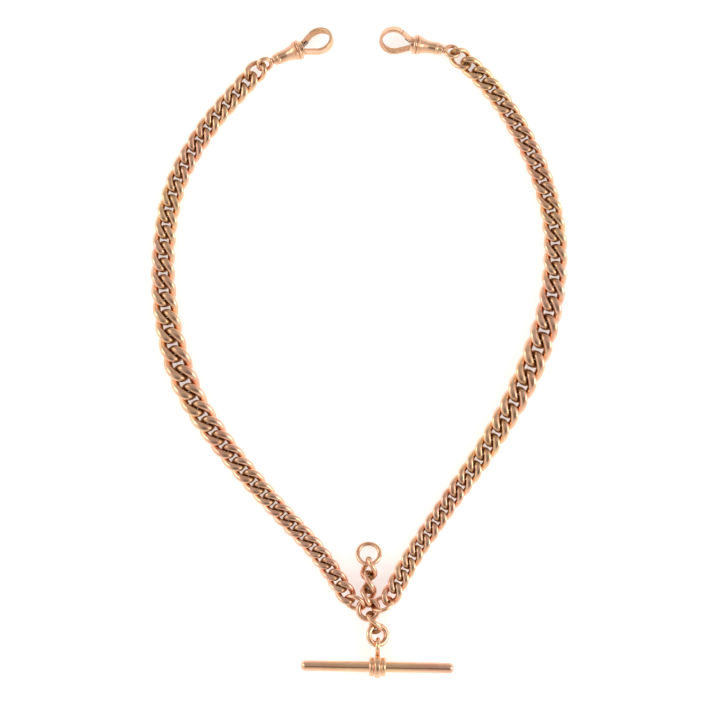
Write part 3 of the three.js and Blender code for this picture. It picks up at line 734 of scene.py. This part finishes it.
# ---- T-bar ----
# A drawn round bar of gold with softly domed ends, turned and polished. It passes through a buttonhole and
# holds the chain there.
BAR_LENGTH, BAR_DIAMETER = 38.2, 2.7
BAR_HEADING = -1
BAND_OUTER, BAND_WIDTH = 5.85, 1.4
BAIL_EYE = {"outer": 4.7, "wire": 1.2}
BAIL_REACH = 5.1
COLLAR_OUTER, COLLAR_WIDTH = 4.9, 1.1
PLAY, SEAT = 0.2, 0.1
bar_gold = rose_gold("polished_bar_gold", 0.16, (260.0, 3800.0, 3800.0), 5e-6)
eye_middle = (pull_on(drop_ring_place, T_DROP_RING, drop_ring_bend)
              + towards(BAR_HEADING - 90, 0) * (pull_radius(BAIL_EYE) + LINK_PLAY))
bar_height = BAND_OUTER / 2 + GROUND_SHIFT
bail_droop = math.asin((bar_height - eye_middle.z) / BAIL_REACH)
reach = BAIL_REACH * math.cos(bail_droop)
bar_turn = math.radians(BAR_HEADING)
bar_middle = Vector((eye_middle.x + reach * math.sin(bar_turn), eye_middle.y - reach * math.cos(bar_turn),
                     bar_height))
bar_place = lying(bar_middle, BAR_HEADING, 0, 0)


def rounded(outline, radius, steps=6):
    """The outline with every inner corner turned to a small arc."""
    made = [Vector(outline[0])]
    for before, corner, after in zip(outline, outline[1:], outline[2:]):
        before, corner, after = Vector(before), Vector(corner), Vector(after)
        back, on = (before - corner), (after - corner)
        cut = min(radius, back.length * 0.48, on.length * 0.48)
        first, second = corner + back.normalized() * cut, corner + on.normalized() * cut
        for i in range(steps + 1):
            t = i / steps
            made.append(first * (1 - t) ** 2 + corner * 2 * t * (1 - t) + second * t ** 2)
    made.append(Vector(outline[-1]))
    return made


def turned_mesh(name, outline, place, metal, facets=72, round_trip=False):
    """Turns (radius, along) points about the X axis. A round trip closes on itself, like a tube's wall."""
    loops = []
    for i in range(facets):
        t = 2 * math.pi * i / facets
        loops.append([(along, radius * math.cos(t), radius * math.sin(t)) for radius, along in outline])
    if round_trip:
        return grid_mesh(name, loops, place, metal)
    mesh = bmesh.new()
    rows = [[mesh.verts.new(place @ Vector(p) * MM) for p in loop[1:-1]] for loop in loops]
    tips = [mesh.verts.new(place @ Vector((outline[i][1], 0, 0)) * MM) for i in (0, -1)]
    for a, b in zip(rows, rows[1:] + rows[:1]):
        for k in range(len(a) - 1):
            mesh.faces.new((a[k], a[k + 1], b[k + 1], b[k]))
        mesh.faces.new((tips[0], a[0], b[0]))
        mesh.faces.new((tips[1], b[-1], a[-1]))
    data = bpy.data.meshes.new(name)
    mesh.to_mesh(data)
    mesh.free()
    data.shade_smooth()
    face_outwards(data)
    data.materials.append(metal)
    return data


half_bar, bar_radius = BAR_LENGTH / 2, BAR_DIAMETER / 2
bar_end = [(0, half_bar), (0.5, half_bar), (bar_radius * 0.75, half_bar - bar_radius * 0.2),
           (bar_radius, half_bar - bar_radius * 0.6)]
bar_outline = [*((r, -x) for r, x in bar_end), (bar_radius, -half_bar / 3), (bar_radius, half_bar / 3),
               *reversed(bar_end)]
add_piece(turned_mesh("t_bar_rod", rounded(bar_outline, 0.45), bar_place, bar_gold), "t_bar", ["t_bar"])

# ---- Collars ----
# Two plain turned bands of gold with rounded edges, soldered on the bar at each side of the bail. They keep
# the bail at the bar's middle.


def band_outline(inner, outer, width, bulge):
    half = width / 2
    return [(inner, 0), (inner, -half), (outer - bulge, -half), (outer, -half * 0.35), (outer, half * 0.35),
            (outer - bulge, half), (inner, half), (inner, 0)]


def closed_rounded(outline, radius):
    return rounded(outline, radius)[:-1]


for side_name, way in (("left", -1), ("right", 1)):
    shift = Matrix.Translation((way * ((BAND_WIDTH + COLLAR_WIDTH) / 2 + PLAY), 0, 0))
    outline = band_outline(bar_radius + SEAT, COLLAR_OUTER / 2, COLLAR_WIDTH + SEAT, 0.16)
    outline = closed_rounded(outline, 0.3)
    add_piece(turned_mesh(f"bar_collar_{side_name}", outline, bar_place @ shift, bar_gold, round_trip=True),
              "t_bar", [f"t_bar_collar_{side_name}"])

# ---- Bail ----
# A gold band that turns freely round the bar, with a round wire eye soldered upright on it. The solder leaves
# a small smooth fillet.
BAIL_GRAIN, BAIL_SEAM = 0.07, 90


def soldered(name, meshes, grain, metal, passes):
    """Joins overlapping solids to one skin and softens the joint."""
    joined = bmesh.new()
    for mesh in meshes:
        joined.from_mesh(mesh)
    data = bpy.data.meshes.new(name)
    joined.to_mesh(data)
    joined.free()
    data.materials.append(metal)
    piece = bpy.data.objects.new(name, data)
    bpy.context.scene.collection.objects.link(piece)
    remesh = piece.modifiers.new("skin", "REMESH")
    remesh.mode = "VOXEL"
    remesh.voxel_size = grain * MM
    remesh.use_smooth_shade = True
    soften = piece.modifiers.new("soften", "SMOOTH")
    soften.factor = 0.5
    soften.iterations = passes
    graph = bpy.context.evaluated_depsgraph_get()
    made = bpy.data.meshes.new_from_object(piece.evaluated_get(graph), depsgraph=graph)
    piece.modifiers.clear()
    piece.data = made
    face_outwards(made)
    made.name = name
    if not made.materials:
        made.materials.append(metal)
    shade_hollows(made)
    return piece


bail_place = bar_place @ Matrix.Rotation(-bail_droop, 4, "X")
eye_place = bail_place @ Matrix.Translation((0, BAIL_REACH, 0)) @ Matrix.Rotation(math.pi / 2, 4, "Y")
band_shape = closed_rounded(band_outline(bar_radius + PLAY, BAND_OUTER / 2, BAND_WIDTH + SEAT, 0.14), 0.24)
band = turned_mesh("bail_band", band_shape, bail_place, bar_gold, facets=120, round_trip=True)
foot = turned_mesh("bail_foot", rounded([(0, BAND_OUTER / 2 - 0.4), (0.68, BAND_OUTER / 2 - 0.4),
                                         (0.58, BAND_OUTER / 2 + 0.55), (0, BAND_OUTER / 2 + 0.8)], 0.1),
                   bail_place @ Matrix.Rotation(math.pi / 2, 4, "Z"), bar_gold, facets=40)
eye = ring_mesh("bail_eye", BAIL_EYE, eye_place, bar_gold, BAIL_SEAM)
bail = soldered("t_bar_bail_skin", [band, eye, foot], BAIL_GRAIN, bar_gold, 8)
adopt(bail, "t_bar_bail", ["t_bar_bail"])

# ---- Dog clips ----
# Each clip is a flared gold barrel with a swivel eye riveted in its small end and a strip hook soldered in
# its mouth. The gate turns on a pin in the hook's root, and a steel leaf spring holds it shut.
clip_gold = rose_gold("polished_clip_gold", 0.15, (700.0, 4200.0, 4200.0), 4e-6)
PIN_DEEP = (0.7, 0.38, 0.25)
pin_gold = polished_metal("dull_pin_gold", GOLD_DEEP, PIN_DEEP, GOLD_YELLOW, HOLLOW_SHADE_COLOUR, 0.3,
                          (900.0, 4200.0, 4200.0), 3e-6)
BARREL_SMALL, BARREL_MOUTH, BARREL_BORE = 1.3, 2.3, 1.15
STEM_RADIUS = 0.55
ROOT_SPREAD, ROOT_RADIUS, ROOT_SHOWING = 0.75, 1.85, 0.85
PIN_RADIUS, KNUCKLE_RADIUS, KNUCKLE_WIDTH = 0.25, 0.55, 1.1
SPRING_THICKNESS, SPRING_LENGTH = 0.2, 2.6
# The last steel colour is the painted shade in the spring's hollows.
STEEL_LIGHT, STEEL_DEEP, STEEL_BROWN, STEEL_SHADE = (
    (0.34, 0.27, 0.22), (0.24, 0.18, 0.15), (0.3, 0.22, 0.15), (0.2, 0.13, 0.08))
SWIVEL_GRAIN, HOOK_GRAIN, GATE_GRAIN, EYE_SEAM = 0.05, 0.06, 0.05, 180
PIN_SPREAD, SPRING_BOW, SPRING_STEPS = 0.03, 0.04, 16
spring_steel = polished_metal("tempered_spring_steel", STEEL_LIGHT, STEEL_DEEP, STEEL_BROWN, STEEL_SHADE, 0.3,
                              (900.0, 5200.0, 5200.0), 3e-6)
EYE_MIDDLE = (CLIP_EYE["outer"] - CLIP_EYE["wire"]) / 2
NECK_RADIUS = STEM_RADIUS + PLAY
NECK_END = BARREL_START + 0.7
HEAD_START = NECK_END + PLAY
HEAD_END = HEAD_START + 0.55
ROOT_START = BARREL_END - 0.5
ROOT_END = BARREL_END + ROOT_SHOWING
STRIP_START = BARREL_END + 0.1
slope_run = LOOP_MIDDLE - STRIP_START
STRIP_SLOPE = math.asin(LOOP_RADIUS / math.hypot(slope_run, ROOT_SPREAD)) - math.atan2(ROOT_SPREAD, slope_run)
TANGENT = STRIP_SLOPE + math.pi / 2
NOSE = TANGENT - math.radians(4)
# How much painted shade goes on the faces inside the hook's loop.
LOOP_SHADE = 0.7
PIVOT = Vector((STRIP_START + 0.3, ROOT_SPREAD + 0.1, 0))


def on_loop(radius, turn):
    return Vector((LOOP_MIDDLE + radius * math.cos(turn), radius * math.sin(turn), 0))


def strip_mesh(name, line, thickness, width, corner, place, metal):
    """A flat strip with softened edges, swept along a line in the clip's plane, with closed ends."""
    half_t, half_w = thickness / 2, width / 2
    box = [(half_t, half_w), (-half_t, half_w), (-half_t, -half_w), (half_t, -half_w)]
    section = []
    for i, (u, v) in enumerate(box):
        centre = Vector((u - math.copysign(corner, u), v - math.copysign(corner, v)))
        for k in range(6):
            turn = math.pi / 2 * (i + k / 5)
            section.append(centre + Vector((math.cos(turn), math.sin(turn))) * corner)
    loops = []
    reach_in = corner * 0.8
    for i, point in enumerate(line):
        before, after = line[max(i - 1, 0)], line[min(i + 1, len(line) - 1)]
        along = (after - before).normalized()
        across = Vector((-along.y, along.x, 0))
        loops.append([point + across * p.x + Vector((0, 0, p.y)) for p in section])
    for end, step_in in ((0, 1), (len(line) - 1, -1)):
        along = (line[end] - line[end + step_in]).normalized()
        small = []
        for p, q in zip(section, loops[end]):
            shrink = Vector((p.x * (1 - corner * 0.5 / half_t), p.y * (1 - corner * 0.5 / half_w)))
            across = q - line[end] - Vector((0, 0, p.y))
            across_way = across.normalized() if across.length > 1e-6 else Vector((0, 0, 0))
            inset = across_way * abs(shrink.x) + Vector((0, 0, shrink.y))
            small.append(line[end] + inset + along * reach_in * 0.4)
        if end == 0:
            loops.insert(0, small)
            line = [line[0], *line]
        else:
            loops.append(small)
    return grid_mesh(name, loops, place, metal, caps=True)


def straight(start, end, count):
    return [start.lerp(end, i / count) for i in range(count + 1)]


barrel_outline = [
    (NECK_RADIUS, BARREL_START + 0.3), (NECK_RADIUS, BARREL_START), (BARREL_SMALL, BARREL_START),
    (BARREL_SMALL + 0.1, BARREL_START + 1.2), (BARREL_SMALL + 0.3, BARREL_START + 1.4),
    (BARREL_SMALL + 0.3, BARREL_START + 1.65), (BARREL_SMALL + 0.15, BARREL_START + 1.85),
    (BARREL_SMALL + 0.25, BARREL_START + 3.6), ((BARREL_SMALL + BARREL_MOUTH) / 2 + 0.1, BARREL_END - 2.4),
    (BARREL_MOUTH - 0.1, BARREL_END - 1.55), (BARREL_BEAD, BARREL_END - 1.35),
    (BARREL_BEAD, BARREL_END - 1.05), (BARREL_MOUTH, BARREL_END - 0.85),
    (BARREL_BEAD, BARREL_END - 0.65), (BARREL_BEAD, BARREL_END - 0.25),
    (BARREL_MOUTH, BARREL_END), (ROOT_RADIUS + SEAT, BARREL_END), (ROOT_RADIUS + SEAT, ROOT_START - 0.2),
    (BARREL_BORE, BARREL_END - 2.6), (BARREL_BORE, NECK_END), (NECK_RADIUS, NECK_END),
    (NECK_RADIUS, BARREL_START + 0.3)]

for side_name, side in SIDES.items():
    axis_place = (Matrix.Rotation(math.radians(side["clip_heading"]), 4, "Z")
                  @ Matrix.Rotation(-CLIP_RISE, 4, "Y"))
    clip_place = Matrix.Translation(side["chain_end"] - (axis_place @ eye_contact(side))) @ axis_place
    eye_turned = clip_place @ Matrix.Rotation(math.radians(EYE_ROLL), 4, "X")
    body_place = clip_place @ Matrix.Rotation(math.pi - CLIP_ROLL if side["gate_up"] else -CLIP_ROLL, 4, "X")
    clip_body = f"{side_name}_clip"
    loop_middle = body_place @ Vector((LOOP_MIDDLE - 1.5, 0, 0))

    stem_outline = [(0, EYE_MIDDLE - 0.2), (0.85, EYE_MIDDLE + 0.1), (0.95, BARREL_START - 0.12),
                    (STEM_RADIUS, BARREL_START - 0.08), (STEM_RADIUS, HEAD_START),
                    (BARREL_BORE - PLAY, HEAD_START), (BARREL_BORE - PLAY, HEAD_END), (0, HEAD_END)]
    stem = turned_mesh("stem", rounded(stem_outline, 0.1), eye_turned, clip_gold, 40)
    loop_eye = ring_mesh("eye", CLIP_EYE, eye_turned, clip_gold, EYE_SEAM)
    swivel = soldered(f"{side_name}_swivel_eye_skin", [loop_eye, stem], SWIVEL_GRAIN, clip_gold, 5)
    adopt(swivel, f"{side_name}_swivel_eye", [f"{side_name}_swivel_eye"])

    barrel = turned_mesh(f"{side_name}_barrel", closed_rounded(barrel_outline, 0.28), body_place, clip_gold,
                         facets=96, round_trip=True)
    add_piece(barrel, clip_body, [f"{side_name}_clip_barrel"])

    strip_foot = Vector((STRIP_START - 0.6, -ROOT_SPREAD + 0.1, 0))
    arc_steps = 56
    turns = [-TANGENT + (NOSE + TANGENT) * i / arc_steps for i in range(1, arc_steps + 1)]
    hook_line = straight(strip_foot, on_loop(LOOP_RADIUS, -TANGENT), 10)
    hook_line += [on_loop(LOOP_RADIUS, turn) for turn in turns]
    hook = strip_mesh(f"{side_name}_hook_strip", hook_line, STRIP_THICKNESS, STRIP_WIDTH, 0.2, body_place,
                      clip_gold)
    root = turned_mesh("root", rounded([(0, ROOT_START), (ROOT_RADIUS, ROOT_START), (ROOT_RADIUS, ROOT_END),
                                        (0, ROOT_END)], 0.25), body_place, clip_gold, 64)
    hook_piece = soldered(f"{side_name}_hook_skin", [hook, root], HOOK_GRAIN, clip_gold, 3)
    # Painted shade on the hook's faces inside the loop.
    shade_inside(hook_piece.data, loop_middle, LOOP_SHADE)
    adopt(hook_piece, clip_body, [f"{side_name}_clip_hook"])

    gate_way = (on_loop(LOOP_RADIUS, TANGENT) - PIVOT).normalized()
    gate_end = on_loop(LOOP_RADIUS, TANGENT) + gate_way * 0.06
    leaf_line = straight(PIVOT + gate_way * (KNUCKLE_RADIUS + PLAY), gate_end, 12)
    leaf = strip_mesh("leaf", leaf_line, STRIP_THICKNESS, STRIP_WIDTH - PLAY, 0.18, body_place, clip_gold)
    neck = strip_mesh("neck", straight(PIVOT + gate_way * (PIN_RADIUS + 0.15),
                                       PIVOT + gate_way * (KNUCKLE_RADIUS + 0.7), 4),
                      STRIP_THICKNESS - 0.05, KNUCKLE_WIDTH, 0.1, body_place, clip_gold)
    pin_place = body_place @ Matrix.Translation(PIVOT) @ Matrix.Rotation(math.pi / 2, 4, "Y")
    bore, half_knuckle = PIN_RADIUS + 0.06, KNUCKLE_WIDTH / 2
    knuckle_outline = [(bore, 0), (bore, -half_knuckle), (KNUCKLE_RADIUS, -half_knuckle),
                       (KNUCKLE_RADIUS, half_knuckle), (bore, half_knuckle), (bore, 0)]
    knuckle = turned_mesh("knuckle", closed_rounded(knuckle_outline, 0.08), pin_place, clip_gold, facets=40,
                          round_trip=True)
    gate = soldered(f"{side_name}_gate_skin", [leaf, neck, knuckle], GATE_GRAIN, clip_gold, 2)
    # Painted shade on the gate's faces inside the loop.
    shade_inside(gate.data, loop_middle, LOOP_SHADE)
    adopt(gate, f"{side_name}_clip_gate", [f"{side_name}_clip_gate"])

    # The hinge pin is a short drawn wire, its two ends spread a little by the riveting hammer.
    pin_head = PIN_RADIUS + PIN_SPREAD
    pin_outline = [(0, -1.3), (pin_head, -1.3), (pin_head, -1.2), (PIN_RADIUS, -1.1), (PIN_RADIUS, 1.1),
                   (pin_head, 1.2), (pin_head, 1.3), (0, 1.3)]
    pin = turned_mesh(f"{side_name}_hinge_pin", rounded(pin_outline, 0.06), pin_place, pin_gold, facets=32)
    add_piece(pin, clip_body, [f"{side_name}_gate_pin"])

    # The leaf spring is a strip of tempered steel, bowed a little and wedged under the gate's knuckle.
    spring_way = Vector((math.cos(STRIP_SLOPE - math.radians(2)), math.sin(STRIP_SLOPE - math.radians(2)), 0))
    spring_start = PIVOT + Vector((-0.35, -KNUCKLE_RADIUS - 0.4, 0))
    spring_line = [spring_start + spring_way * (SPRING_LENGTH * i / SPRING_STEPS)
                   + Vector((0, SPRING_BOW * math.sin(math.pi * i / SPRING_STEPS), 0))
                   for i in range(SPRING_STEPS + 1)]
    spring = strip_mesh(f"{side_name}_leaf_spring", spring_line, SPRING_THICKNESS, KNUCKLE_WIDTH - 2 * SEAT,
                        0.05, body_place, spring_steel)
    add_piece(spring, clip_body, [f"{side_name}_gate_spring"])
